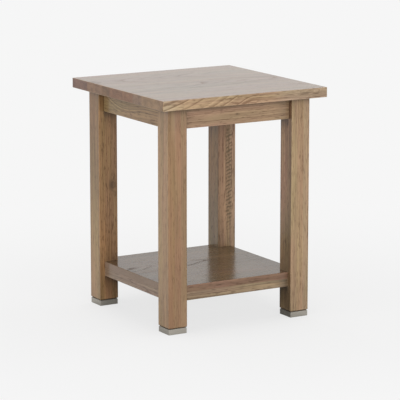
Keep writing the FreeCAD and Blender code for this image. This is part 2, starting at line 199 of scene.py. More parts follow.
def oak_log():
    """The wood inside an oak log, at a place in metres with X along the grain and the heart along X.

    The year is the distance from the heart, which wanders a little, over the width of a ring. Early wood is
    the dark start of a year, fading through it, and its square says how open it is. Bands are noise over the
    years. Fibres, dashes and pores are noise drawn out along the grain, each finer than the last. Rays are
    noise drawn out along the grain and outwards but thin round the heart. Blush and tint are slow changes of
    hue and tone along the grain."""
    tree = bpy.data.node_groups.new("oak_log", "ShaderNodeTree")
    for name, kind in (("Place", "Vector"), ("Swirl", "Float"), ("Ring", "Float"), ("Lines", "Float")):
        tree.interface.new_socket(name, in_out="INPUT", socket_type="NodeSocket" + kind)
    given = tree.nodes.new("NodeGroupInput").outputs
    place = Triple(given["Place"]).wander(waves=(2.2, 9.0, 9.0), reach=(0.0, 0.024, 0.024))
    along, across, up = place.parts()
    out = (across ** 2 + up ** 2) ** 0.5 + Number(given["Swirl"])
    year = out / Number(given["Ring"]) + out.waver(waves=60.0) * YEARS_STRAY
    season = year.fraction()
    strength = year.whole().waver(waves=0.37, detail=0.0).ramp(*NOISE_SPAN, *YEAR_STRENGTHS)
    early = (1.0 - season) ** EARLY_FADES * season.ramp(0.0, EARLY_STARTS) * strength
    bands = out.waver(waves=140.0, detail=2.0).ramp(*BAND_SPAN)
    fibres = place.noise(waves=(6.0, 250.0, 250.0), detail=3.0, roughness=0.6).ramp(*NOISE_SPAN)
    dashes = place.noise(waves=(45.0, 290.0, 290.0), detail=2.0, roughness=0.6).ramp(*DASH_SPAN)
    pores = place.noise(waves=(38.0, 950.0, 950.0), detail=1.0).ramp(*PORE_SPAN)
    pores = pores * (early * (1.0 - PORES_IN_LATE_WOOD) + PORES_IN_LATE_WOOD)
    fine = fibres * FIBRES_SHOW + dashes * DASHES_SHOW + pores * PORES_SHOW
    round_heart = up.angle(across) * RAY_TURN
    ray_sheet = Triple(add_node(tree, "ShaderNodeCombineXYZ", along, round_heart, out))
    elsewhere = place + BLUSH_SHIFT
    early = early * Number(given["Lines"])
    results = {
        "Dark": early + bands * BANDS_SHOW + fine,
        "Open": early ** 2,
        "Pores": pores,
        "Rays": ray_sheet.noise(waves=(55.0, 900.0, 22.0), detail=1.0).ramp(*RAY_SPAN),
        "Blush": elsewhere.noise(waves=(2.6, 24.0, 24.0), detail=3.0, roughness=0.6).ramp(*BLUSH_SPAN),
        "Tint": place.noise(waves=(2.6, 24.0, 24.0)),
    }
    for name in results:
        tree.interface.new_socket(name, in_out="OUTPUT", socket_type="NodeSocketFloat")
    output = tree.nodes.new("NodeGroupOutput")
    for name, value in results.items():
        plug(output.inputs[name], value)
    return tree


OAK_LOG = oak_log()
OAK_RING = 0.0056
OAK_LINES = 0.5
ALONG_X = Euler((0, 0, 0))
ALONG_Y = Euler((0, 0, -math.pi / 2))
ALONG_Z = Euler((0, math.pi / 2, 0))
NEXT_CUT = 1.3
ARRIS_TURN = (0.6, 0.9)


def corners_of(*names):
    """The low and the high corner of the box round some nodes."""
    boxes = [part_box(name) for name in names]
    low = Vector([min(box[0][axis] for box in boxes) for axis in range(3)])
    high = Vector([max(box[1][axis] for box in boxes) for axis in range(3)])
    return low, high


def new_look(*names):
    """A new material on some nodes, given as the place and the facing of a point on their surface."""
    material = bpy.data.materials.new(names[0] + "_look")
    material.use_nodes = True
    for name in names:
        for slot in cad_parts[name].material_slots:
            slot.material = material
    coordinates = material.node_tree.nodes.new("ShaderNodeTexCoord").outputs
    return Triple(coordinates["Object"]), Triple(coordinates["Normal"])


def turned_to(facing, axis, low=0.0, high=1.0):
    """High on the faces that are square to an axis and low on those along it, smoothly over the arrises."""
    return abs(facing.dot(axis)).ramp(*ARRIS_TURN, low, high)


def sawn(place, grain, middle, heart, start, ring=OAK_RING, lines=OAK_LINES, swirl=0.0):
    """The wood of a piece, turned so that the grain runs along the log. The heart passes the piece's middle
    at a place across the grain, and start says how far along the log it was sawn."""
    offset = Vector((start, -heart[0], -heart[1])) - grain.to_matrix() @ middle
    log = place.tree.nodes.new("ShaderNodeGroup")
    log.node_tree = OAK_LOG
    plug(log.inputs["Place"], Triple(add_node(place.tree, "ShaderNodeMapping", place, offset, grain)))
    plug(log.inputs["Swirl"], swirl)
    plug(log.inputs["Ring"], ring)
    plug(log.inputs["Lines"], lines)
    return {socket.name: Number(socket) for socket in log.outputs}


OAK_OLIVE = (0.965, 1.022, 0.968)
OAK_ROSE = (1.034, 0.974, 1.032)
OAK_TONES = (0.88, 1.10)
OAK_DEEPER = (0.42, 0.38, 0.35)
OAK_MEAN = 0.45
RAYS_SHOW = 0.25


def stained(wood, stain, depth=1.0):
    """The colour of stained wood and that of its lightest parts. Depth says how strongly the grain shows:
    the dark share keeps its mean and its distance from the mean is multiplied by the depth."""
    clear = mixed(wood["Blush"], OAK_OLIVE, OAK_ROSE) * wood["Tint"].ramp(*NOISE_SPAN, *OAK_TONES) * stain
    share = (wood["Dark"] - OAK_MEAN) * depth + OAK_MEAN
    colour = mixed(share, clear, clear * OAK_DEEPER)
    return mixed(wood["Rays"] * RAYS_SHOW, colour, clear), clear


def stain_and_shade(colour, nearness, strength):
    """Darkens a colour by nearness times strength, for painted shade and for darker marks in the wood."""
    return colour * (1.0 - nearness * strength)


def near_arris(place, low, high, reach):
    """1 on the arrises of a box and 0 from reach inwards. Counted outwards from the box's faces, a point on
    its surface has one nil depth and two below nil, and the larger of those two is how near the arris is."""
    a, b, c = (abs(place - (low + high) / 2) - (high - low) / 2).parts()
    return a.at_most(b).at_least(a.at_least(b).at_most(c)).ramp(-reach, 0.0)


END_COLOUR = (0.15, 0.10, 0.065)
END_DEEPER = (0.72, 0.70, 0.68)
END_SHOWS = 0.9
ARRIS_REACH = 0.003
ARRIS_RUBBED = 0.3
SHINE = 0.3
DULLNESS = 0.25
TINT_DULLNESS = 0.10
PORE_DULLNESS = 0.25
COAT = 0.15
COAT_ROUGHNESS = 0.16
DENT_STRENGTH = 0.35
DENT_DEPTH = 0.0004


def lacquered(place, facing, grain, wood, colour, clear, corners,
              end=END_COLOUR, coat=COAT, dullness=DULLNESS,
              rubbed=ARRIS_RUBBED, dented=DENT_STRENGTH, sunk=0.0):
    """Satin lacquer over a stained colour: darker end grain, arrises rubbed lighter, dull open pores and a
    dent at each pore. Sunk says how dull the lacquer is where it has gone into the early wood."""
    axis = grain.to_matrix().transposed() @ Vector((1, 0, 0))
    ends = mixed(wood["Dark"], (1, 1, 1), END_DEEPER) * end
    colour = mixed(turned_to(facing, axis, 0.0, END_SHOWS), colour, ends)
    colour = mixed(near_arris(place, *corners, ARRIS_REACH) * rubbed, colour, clear)
    nodes = place.tree.nodes
    shader = nodes["Principled BSDF"].inputs
    plug(shader["Base Color"], colour)
    dull = wood["Tint"] * TINT_DULLNESS + wood["Pores"] * PORE_DULLNESS + wood["Open"] * sunk + dullness
    plug(shader["Roughness"], dull.at_most(1.0))
    plug(shader["Specular IOR Level"], SHINE)
    plug(shader["Coat Weight"], coat)
    plug(shader["Coat Roughness"], COAT_ROUGHNESS)
    dents = nodes.new("ShaderNodeBump")
    plug(dents.inputs["Strength"], dented)
    plug(dents.inputs["Distance"], DENT_DEPTH)
    plug(dents.inputs["Height"], 1.0 - wood["Pores"])
    place.tree.links.new(dents.outputs["Normal"], shader["Normal"])


LEGS = {
    "leg_front_left": {
        "facing_low": (0.44, 0.30, 0.16), "facing_high": (0.47, 0.31, 0.17), "facing_depth": 0.9,
        "staves": ((0.36, 0.22, 0.115), (0.385, 0.235, 0.13), (0.41, 0.255, 0.15)), "stave_depth": 0.6,
        "corner_shade": 0.60,
    },
    "leg_front_right": {
        "facing_low": (0.335, 0.225, 0.12), "facing_high": (0.49, 0.285, 0.17), "facing_depth": 1.5,
        "staves": ((0.45, 0.31, 0.18), (0.52, 0.35, 0.20), (0.455, 0.325, 0.195)), "stave_depth": 0.95,
        "corner_shade": 0.60,
    },
    "leg_back_left": {
        "facing_low": (0.45, 0.29, 0.145), "facing_high": (0.355, 0.22, 0.115), "facing_depth": 1.0,
        "staves": ((0.445, 0.26, 0.12), (0.425, 0.245, 0.12), (0.345, 0.21, 0.105)), "stave_depth": 1.3,
        "corner_shade": 0.35,
    },
    # The back right leg's second and third staves are much lighter, partly as painted light against the
    # shade on its inner face.
    "leg_back_right": {
        "facing_low": (0.332, 0.234, 0.137), "facing_high": (0.391, 0.241, 0.114), "facing_depth": 1.5,
        "staves": ((0.418, 0.262, 0.156), (0.562, 0.375, 0.212), (0.65, 0.432, 0.277)), "stave_depth": 1.3,
        "corner_shade": 0.60,
    },
}
LEG_HEART = (0.075, 0.085)
LEG_RUBBED = 0.1
STAVES = 3
STAVE_SHIFT = (0.027, 0.019, 0.43)
FRONT_DEPTH = 0.004
FACING_THICKNESS = 0.0015
FACING_SETBACK = 0.003
FACING_CHANGES = (0.20, 0.40)
RIGHT_FACING = (0.43, 0.285, 0.155)
RIGHT_FACING_DEPTH = 0.9

# The front left leg has a pale flame below its head, and the head is greyer.
FLAME_CENTRE = (-0.2035, -0.22, 0.565)
FLAME_REACH = (0.0075, 0.03, 0.055)
FLAME_TINT = (1.0, 1.06, 1.15)
FLAME_SHOWS = 0.85
HEAD_FADES = (0.53, 0.60)
HEAD_TINT = (0.95, 1.0, 1.05)

# The back left leg has a knot, a darker strip along its front arris low and high, and a pale stripe behind
# it.
LEG_KNOT_CENTRE = (-0.1815, 0.1635, 0.3405)
LEG_KNOT_REACH = (0.009, 0.03, 0.016)
LEG_KNOT_SWIRL = 0.016
LEG_KNOT_COLOUR = (0.06, 0.035, 0.018)
LEG_KNOT_SHOWS = 0.75
DARK_EDGE_REACH = 0.009
DARK_EDGE_FADES = (0.14, 0.18)
DARK_EDGE_SHADE = 0.35
DARK_HEAD_FADES = (0.55, 0.58)
DARK_HEAD_SHADE = 0.30
PALE_STRIPE_CENTRE = (-0.22, 0.204, 0.07)
PALE_STRIPE_REACH = (0.03, 0.010, 0.045)
PALE_STRIPE_SHOWS = 0.8

# The front right leg has painted shade along the back of its facing, most below the shelf, and is darker low
# in front.
BACK_EDGE_REACH = 0.006
BACK_EDGE_SHADE = 0.25
BACK_CORNER_CENTRE = (0.1635, -0.1635, 0.065)
BACK_CORNER_REACH = (0.03, 0.018, 0.03)
BACK_CORNER_SHADE = 0.35
LOW_FRONT = (0.07, 0.10)
LOW_FRONT_SHADE = 0.05

# The back right leg has a ladder of cross marks and dark stripes by the glue and on its facing.
# It has painted shade at its head under the apron, and it is darker low in front.
LADDER_MIDDLE = 0.1985
LADDER_HALF_WIDTH = (0.011, 0.016)
LADDER_RAGGED = 0.008
LADDER_FOOT = (0.14, 0.23)
LADDER_HEAD = (0.455, 0.475)
LADDER_COLOUR = (0.21, 0.15, 0.08)
LADDER_SHOWS = 0.30
RUNG_SPACING = 0.0108
RUNG_SLANT = 0.4
RUNG_UNEVEN = 0.012
RUNG_EDGES = (0.18, 0.34)
RUNG_GAPS = (0.36, 0.50)
RUNG_COLOUR = (0.10, 0.072, 0.038)
RUNG_SHOWS = 0.62
GLUE_STRIPE_REACH = 0.004
GLUE_STRIPE_SHADE = 0.38
FACING_STRIPE_PLACE = 0.016
FACING_STRIPE_REACH = 0.009
FACING_STRIPE_SHADE = 0.20
LOW_DARKER_FADES = (0.14, 0.24)
LOW_DARKENING = 0.2
HEAD_SHADE_FADES = (0.425, 0.48)
HEAD_SHADE_STRENGTH = 0.26

# On every leg painted shade darkens it by the shelf, under it, beside and under the aprons and under the
# top.
SHELF_SHADE = 0.35
SHELF_SHADE_REACH = 0.045
BELOW_SHELF_SHADE = 0.35
BELOW_SHELF_REACH = 0.018
CORNER_SHADE_REACH = 0.010
APRON_SHADE = 0.65
APRON_SHADE_REACH = 0.020
LEG_TOP_SHADE = 0.60
TOP_SHADE_REACH = 0.014

apron_low, apron_high = corners_of("apron_front", "apron_back", "apron_left", "apron_right")
shelf_low, shelf_high = corners_of("shelf_rail_front", "shelf_rail_back", "shelf_board_1")
for number, (name, leg) in enumerate(LEGS.items()):
    place, facing = new_look(name)
    low, high = corners_of(name)
    middle = (low + high) / 2
    x, y, z = place.parts()
    stave = ((x - low.x) * (STAVES / (high.x - low.x))).whole().at_least(0.0).at_most(STAVES - 1)
    swirl = 0.0
    if name == "leg_back_left":
        knot = place.hump(LEG_KNOT_CENTRE, LEG_KNOT_REACH)
        swirl = knot * LEG_KNOT_SWIRL
    wood = sawn(place + stave.times(STAVE_SHIFT), ALONG_Z, middle, LEG_HEART, NEXT_CUT * number, swirl=swirl)

    on_left = (x < low.x + FACING_THICKNESS) * (y > low.y + FACING_SETBACK)
    on_right = x > high.x - FACING_THICKNESS
    in_front = y < low.y + FRONT_DEPTH
    first, second, third = leg["staves"]
    stain = mixed(stave > 1.5, mixed(stave > 0.5, first, second), third)
    stain = mixed(on_left, stain, mixed(z.ramp(*FACING_CHANGES), leg["facing_low"], leg["facing_high"]))
    stain = mixed(on_right, stain, RIGHT_FACING)
    depth = on_left * (leg["facing_depth"] - leg["stave_depth"]) + leg["stave_depth"]
    depth = on_right * (RIGHT_FACING_DEPTH - leg["stave_depth"]) + depth
    colour, clear = stained(wood, stain, depth)

    if name == "leg_front_left":
        flame = place.hump(FLAME_CENTRE, FLAME_REACH)
        colour = mixed(flame * FLAME_SHOWS, colour, clear * FLAME_TINT)
        colour = mixed(z.ramp(*HEAD_FADES) * in_front, colour, colour * HEAD_TINT)
    if name == "leg_back_left":
        colour = mixed(knot * LEG_KNOT_SHOWS, colour, LEG_KNOT_COLOUR)
        dark_edge = ((x - low.x) / DARK_EDGE_REACH).bell() * (1.0 - on_left)
        colour = stain_and_shade(colour, dark_edge * z.ramp(*DARK_EDGE_FADES, 1.0, 0.0), DARK_EDGE_SHADE)
        colour = stain_and_shade(colour, dark_edge * z.ramp(*DARK_HEAD_FADES), DARK_HEAD_SHADE)
        pale = place.hump(PALE_STRIPE_CENTRE, PALE_STRIPE_REACH) * on_left
        colour = mixed(pale * PALE_STRIPE_SHOWS, colour, clear)
    if name == "leg_front_right":
        # Painted shade along the back of the facing and in its corner below the shelf, and darker low in
        # front.
        back_edge = ((y - high.y) / BACK_EDGE_REACH).bell() * on_left
        colour = stain_and_shade(colour, back_edge, BACK_EDGE_SHADE)
        back_corner = place.hump(BACK_CORNER_CENTRE, BACK_CORNER_REACH) * on_left
        colour = stain_and_shade(colour, back_corner, BACK_CORNER_SHADE)
        colour = stain_and_shade(colour, z.ramp(*LOW_FRONT, 1.0, 0.0) * in_front, LOW_FRONT_SHADE)
    if name == "leg_back_right":
        uneven = place.noise(waves=(55.0, 55.0, 55.0)) * RUNG_UNEVEN
        rungs = ((z - x * RUNG_SLANT + uneven) / RUNG_SPACING).off_whole().ramp(*RUNG_EDGES)
        broken = place.noise(waves=(190.0, 190.0, 110.0), detail=1.0).ramp(*RUNG_GAPS)
        ragged = place.noise(waves=(90.0, 90.0, 90.0)) * LADDER_RAGGED
        ladder = (abs(x - LADDER_MIDDLE) + ragged).ramp(*LADDER_HALF_WIDTH, 1.0, 0.0)
        ladder = ladder * z.ramp(*LADDER_FOOT) * z.ramp(*LADDER_HEAD, 1.0, 0.0) * in_front
        colour = mixed(ladder * LADDER_SHOWS, colour, LADDER_COLOUR)
        colour = mixed(ladder * rungs * broken * RUNG_SHOWS, colour, RUNG_COLOUR)
        by_glue = ((x - low.x) / GLUE_STRIPE_REACH).bell() * in_front
        on_facing = ((y - low.y - FACING_STRIPE_PLACE) / FACING_STRIPE_REACH).bell() * on_left
        colour = stain_and_shade(colour, by_glue, GLUE_STRIPE_SHADE)
        colour = stain_and_shade(colour, on_facing, FACING_STRIPE_SHADE)
        # Darker low in front, and painted shade at the head under the apron.
        colour = stain_and_shade(colour, z.ramp(*LOW_DARKER_FADES, 1.0, 0.0) * in_front, LOW_DARKENING)
        colour = stain_and_shade(colour, z.ramp(*HEAD_SHADE_FADES), HEAD_SHADE_STRENGTH)

    # Painted shade by the shelf, under it, beside and under the aprons, and under the top.
    by_shelf = ((z - (shelf_low.z + shelf_high.z) / 2) / SHELF_SHADE_REACH).bell()
    in_shelf = (abs(x) < shelf_high.x) * (abs(y) < shelf_high.y)
    below_shelf = ((z - shelf_low.z) / BELOW_SHELF_REACH).bell() * (z < shelf_low.z)
    by_apron = ((abs(x).at_least(abs(y)) - apron_high.x) / CORNER_SHADE_REACH).bell() * (z > apron_low.z)
    under_apron = ((z - apron_low.z) / APRON_SHADE_REACH).bell()
    under_apron = under_apron * (abs(x) < apron_high.x) * (abs(y) < apron_high.y)
    under_top = ((z - high.z) / TOP_SHADE_REACH).bell()
    colour = stain_and_shade(colour, by_shelf * in_shelf, SHELF_SHADE)
    colour = stain_and_shade(colour, below_shelf * in_shelf, BELOW_SHELF_SHADE)
    colour = stain_and_shade(colour, by_apron, leg["corner_shade"])
    colour = stain_and_shade(colour, under_apron, APRON_SHADE)
    colour = stain_and_shade(colour, under_top, LEG_TOP_SHADE)
    lacquered(place, facing, ALONG_Z, wood, colour, clear, (low, high), rubbed=LEG_RUBBED)


# Aprons. Four oak boards on edge between the legs, set back from their faces, stained and lacquered alike.
# Each end is a tenon glued into a leg, and the top edge carries the top.

APRONS = {
    "apron_front": {
        "grain": ALONG_X, "stain": (0.433, 0.287, 0.177), "depth": 1.0,
        "end_shades": (0.30, 0.32), "end_reaches": (0.014, 0.030),
    },
    "apron_back": {
        "grain": ALONG_X, "stain": (0.41, 0.27, 0.155), "depth": 1.3,
        "end_shades": (0.40, 0.40), "end_reaches": (0.014, 0.014),
    },
    "apron_left": {
        "grain": ALONG_Y, "stain": (0.405, 0.268, 0.137), "depth": 1.2,
        "end_shades": (0.45, 0.10), "end_reaches": (0.014, 0.014),
    },
    "apron_right": {
        "grain": ALONG_Y, "stain": (0.40, 0.26, 0.14), "depth": 1.2,
        "end_shades": (0.40, 0.40), "end_reaches": (0.014, 0.014),
    },
}
APRON_START = 7.0
RAIL_HEART = (0.03, -0.11)
RAIL_RING = 0.0062
APRON_LINES = 0.6
EYE_CENTRE = (0.0, -0.204, 0.5754)
EYE_REACH = (0.005, 0.03, 0.003)
EYE_COLOUR = (0.08, 0.05, 0.03)
EYE_SHOWS = 0.7
DIP_PLACE = 0.045
DIP_LEVEL = 0.569
DIP_BACK_BEND = 2.4
DIP_FRONT_RISE = 0.012
DIP_FRONT_REACH = 0.07
DIP_LINE_SPACING = 0.0085
DIP_LINE_SHIFT = 0.002
DIP_LINES_STRAY = 0.004
DIP_LINES_MIDDLE = 0.004
DIP_LINES_REACH = 0.010
DIP_LINES_SHOW = 0.30
APRON_PALE_CENTRE = (-0.081, -0.204, 0.5755)
APRON_PALE_REACH = (0.045, 0.03, 0.008)
APRON_PALE_SHOWS = 0.75
TOP_SHADE = 0.85

leg_inside = corners_of("leg_front_right")[0].x
for number, (name, apron) in enumerate(APRONS.items()):
    grain = apron["grain"]
    place, facing = new_look(name)
    low, high = corners_of(name)
    x, y, z = place.parts()
    swirl = 0.0
    if name == "apron_left":
        past = y - DIP_PLACE
        rise = past.at_least(0.0) ** 2 * DIP_BACK_BEND
        rise = rise + (1.0 - (past.at_most(0.0) / DIP_FRONT_REACH).bell()) * DIP_FRONT_RISE
        swirl = rise * -1.0
    start = APRON_START + NEXT_CUT * number
    wood = sawn(place, grain, (low + high) / 2, RAIL_HEART, start, RAIL_RING, APRON_LINES, swirl)
    colour, clear = stained(wood, apron["stain"], apron["depth"])
    if name == "apron_left":
        above = z - rise - DIP_LEVEL + place.noise(waves=(14.0, 14.0, 14.0)) * DIP_LINES_STRAY
        lines = ((above - DIP_LINE_SHIFT) * (2 * math.pi / DIP_LINE_SPACING)).cosine()
        lines = lines * ((above - DIP_LINES_MIDDLE) / DIP_LINES_REACH).bell()
        colour = colour * (lines * DIP_LINES_SHOW + 1.0)
    if name == "apron_front":
        colour = mixed(place.hump(APRON_PALE_CENTRE, APRON_PALE_REACH) * APRON_PALE_SHOWS, colour, clear)
        colour = mixed(place.hump(EYE_CENTRE, EYE_REACH) * EYE_SHOWS, colour, EYE_COLOUR)
    # Painted shade darkens each end beside its leg and the top edge under the overhang of the top.
    along = x if grain is ALONG_X else y
    for side, shade, reach in zip((-1.0, 1.0), apron["end_shades"], apron["end_reaches"]):
        by_leg = ((along * side - leg_inside) / reach).bell()
        colour = stain_and_shade(colour, by_leg, shade)
    under_top = ((z - high.z) / TOP_SHADE_REACH).bell()
    colour = stain_and_shade(colour, under_top, TOP_SHADE)
    lacquered(place, facing, grain, wood, colour, clear, (low, high))


# Corner blocks. Sawn blocks of raw pale wood across the inner corners of the aprons, left without a finish.
# Two screws tie each block to its aprons, and a third goes up through it into the top.

BLOCK_TURN = math.pi / 4
BLOCK_GRAIN = {
    "corner_block_front_left": Euler((0, 0, BLOCK_TURN)),
    "corner_block_front_right": Euler((0, 0, -BLOCK_TURN)),
    "corner_block_back_left": Euler((0, 0, -BLOCK_TURN)),
    "corner_block_back_right": Euler((0, 0, BLOCK_TURN)),
}
BLOCK_START = 40.0
BLOCK_HEART = (0.04, -0.06)
BLOCK_COLOUR = (0.62, 0.45, 0.28)
BLOCK_PALENESS = 0.45
BLOCK_ROUGHNESS = (0.65, 0.80)
for number, (name, grain) in enumerate(BLOCK_GRAIN.items()):
    place = new_look(name)[0]
    low, high = corners_of(name)
    wood = sawn(place, grain, (low + high) / 2, BLOCK_HEART, BLOCK_START + NEXT_CUT * number)
    colour, clear = stained(wood, BLOCK_COLOUR)
    shader = place.tree.nodes["Principled BSDF"].inputs
    plug(shader["Base Color"], mixed(BLOCK_PALENESS, colour, clear))
    plug(shader["Roughness"], wood["Dark"].ramp(0.0, 1.0, *BLOCK_ROUGHNESS))


# Shelf rails. Four slim oak rails under the rim of the shelf and flush with it, stained and lacquered alike.
# Each is held between two legs by a pair of dowels at either end, and three screws go up through it.

SHELF_RAILS = {
    "shelf_rail_front": (ALONG_X, (0.36, 0.255, 0.16), 1.6),
    "shelf_rail_back": (ALONG_X, (0.37, 0.25, 0.15), 1.4),
    "shelf_rail_left": (ALONG_Y, (0.37, 0.265, 0.18), 1.3),
    "shelf_rail_right": (ALONG_Y, (0.37, 0.25, 0.15), 1.4),
}
SHELF_RAIL_START = 14.0
SHELF_RAIL_LINES = 0.7
PALE_STREAK_CENTRE = (0.105, -0.205, 0.0965)
PALE_STREAK_REACH = (0.075, 0.03, 0.0045)
PALE_STREAK_COLOUR = (0.50, 0.345, 0.205)
PALE_STREAK_SHOWS = 0.6
RAIL_TOP_CENTRE = (0.13, -0.205, 0.107)
RAIL_TOP_REACH = (0.06, 0.03, 0.006)
RAIL_TOP_SHADE = 0.3
DARK_STREAK_CENTRE = (-0.10, -0.205, 0.1015)
DARK_STREAK_REACH = (0.045, 0.03, 0.0035)
DARK_STREAK_COLOUR = (0.12, 0.08, 0.055)
DARK_STREAK_SHOWS = 0.5
RAIL_END_SHADE = 0.54
SHELF_END_REACH = 0.026
for number, (name, (grain, stain, depth)) in enumerate(SHELF_RAILS.items()):
    place, facing = new_look(name)
    low, high = corners_of(name)
    start = SHELF_RAIL_START + NEXT_CUT * number
    wood = sawn(place, grain, (low + high) / 2, RAIL_HEART, start, RAIL_RING, SHELF_RAIL_LINES)
    colour, clear = stained(wood, stain, depth)
    if name == "shelf_rail_front":
        pale = place.hump(PALE_STREAK_CENTRE, PALE_STREAK_REACH)
        colour = mixed(pale * PALE_STREAK_SHOWS, colour, PALE_STREAK_COLOUR)
        dark = place.hump(DARK_STREAK_CENTRE, DARK_STREAK_REACH)
        colour = mixed(dark * DARK_STREAK_SHOWS, colour, DARK_STREAK_COLOUR)
        colour = stain_and_shade(colour, place.hump(RAIL_TOP_CENTRE, RAIL_TOP_REACH), RAIL_TOP_SHADE)
        # Painted shade at the right end beside the leg.
        by_leg = ((place.parts()[0] - leg_inside) / SHELF_END_REACH).bell()
        colour = stain_and_shade(colour, by_leg, RAIL_END_SHADE)
    lacquered(place, facing, grain, wood, colour, clear, (low, high))


# Shelf. Five oak boards glued edge to edge into one panel and notched round the legs. Its face is darker,
# as stain and as painted shade from the top above it.
# It lies on the shelf rails, and screws driven up through them hold it down.
# The rings of a log climb through a board sawn askew, and show on its face as arches one behind another.

# The face colour is a darker stain together with painted shade from the top above it.
SHELF_FACE_STAIN_AND_SHADE = (0.205, 0.13, 0.07)
SHELF_EDGE_STAIN = (0.29, 0.174, 0.111)
SHELF_END = (0.30, 0.21, 0.15)
SHELF_COAT = 0.0
SHELF_DULLNESS = 0.15
SHELF_DENTS = 0.15
SHELF_SUNK = 0.55
SHELF_DEPTH = 0.7
SHELF_EDGE_DEPTH = 1.0
SHELF_START = 21.0
SHELF_END_SHADE = 0.2
SHELF_BOARDS = {
    "shelf_board_1": {"heart": (0.03, -0.08), "climb": 0.02, "lines": 0.2},
    "shelf_board_2": {"heart": (-0.02, -0.08), "climb": -0.03, "lines": 0.2},
    "shelf_board_3": {"heart": (0.036, -0.099), "climb": 0.08, "lines": 0.85},
    "shelf_board_4": {"heart": (0.03, -0.08), "climb": -0.02, "lines": 0.2},
    "shelf_board_5": {"heart": (-0.03, -0.08), "climb": 0.05, "lines": 0.3},
}
panel = corners_of(*SHELF_BOARDS)
for number, (name, board) in enumerate(SHELF_BOARDS.items()):
    place, facing = new_look(name)
    low, high = corners_of(name)
    x, y, z = place.parts()
    climb = x * board["climb"]
    start = SHELF_START + NEXT_CUT * number
    wood = sawn(place, ALONG_X, (low + high) / 2, board["heart"], start, lines=board["lines"], swirl=climb)
    stain = mixed(turned_to(facing, (0, 1, 0)), SHELF_FACE_STAIN_AND_SHADE, SHELF_EDGE_STAIN)
    colour, clear = stained(wood, stain, turned_to(facing, (0, 1, 0), SHELF_DEPTH, SHELF_EDGE_DEPTH))
    # Painted shade on the front edge beside the right front leg.
    if name == "shelf_board_1":
        by_leg = ((x - leg_inside) / SHELF_END_REACH).bell()
        colour = stain_and_shade(colour, by_leg * turned_to(facing, (0, 1, 0)), SHELF_END_SHADE)
    lacquered(place, facing, ALONG_X, wood, colour, clear, panel,
              SHELF_END, SHELF_COAT, SHELF_DULLNESS, dented=SHELF_DENTS, sunk=SHELF_SUNK)


# Top. Six oak boards glued edge to edge into one panel with eased arrises, stained and lacquered alike.
# It lies on the aprons, and screws through the corner blocks hold it down.
# The front board shows slanting rings and a knot on its edge, and rings climb through the others in arches.

TOP_STAIN = (0.54, 0.37, 0.25)
TOP_EDGE_STAIN = (0.51, 0.35, 0.21)
TOP_DEPTH = 0.6
TOP_EDGE_DEPTH = 1.2
TOP_COAT = 0.40
TOP_EDGE_COAT = 0.12
TOP_SUNK = 0.4
TOP_COAT_SUNK = 1.0
TOP_START = 30.0
TOP_BOARDS = {
    "top_board_1": {"end": (0.298, 0.187, 0.105), "heart": (0.03, -0.08), "climb": 0.0, "lines": 0.2},
    "top_board_2": {"end": (0.235, 0.145, 0.095), "heart": (-0.03, -0.08), "climb": 0.02, "lines": 0.2},
    "top_board_3": {"end": (0.254, 0.128, 0.073), "heart": (0.0, -0.08), "climb": 0.07, "lines": 0.7},
    "top_board_4": {"end": (0.19, 0.10, 0.05), "heart": (0.03, -0.08), "climb": -0.02, "lines": 0.2},
    "top_board_5": {"end": (0.257, 0.146, 0.086), "heart": (0.01, -0.08), "climb": -0.06, "lines": 0.6},
    "top_board_6": {"end": (0.20, 0.105, 0.08), "heart": (-0.03, -0.08), "climb": 0.03, "lines": 0.2},
}
END_TONES = (0.80, 1.22)
EDGE_FADES = (0.002, 0.012)
SLANT_END = 0.01
SLANT = 0.42
SLANT_EASES = 0.48
SLANT_BLEND = 0.03
EDGE_RING = 0.0116
EDGE_LINES_END = (0.0, 0.07)
EDGE_LINES = (1.4, 0.6)
EDGE_KNOT_CENTRE = (0.198, -0.254, 0.626)
EDGE_KNOT_REACH = (0.042, 0.03, 0.010)
EDGE_KNOT_SWIRL = 0.03
EDGE_KNOT_STREAKS = (0.35, 0.6)
EDGE_KNOT_COLOUR = (0.12, 0.085, 0.05)
EDGE_KNOT_SHOWS = 0.7
EDGE_PALER = 1.05
EDGE_CLOUD_CENTRE = (0.075, -0.254, 0.6215)
EDGE_CLOUD_REACH = (0.045, 0.03, 0.05)
EDGE_CLOUD_SHADE = 0.14
GREY_END_FROM = (0.06, 0.14)
GREY_END_TINT = (0.92, 1.01, 1.10)
CORNER_FADES = (-0.254, -0.18)
CORNER_TINT = (1.02, 1.10, 1.22)

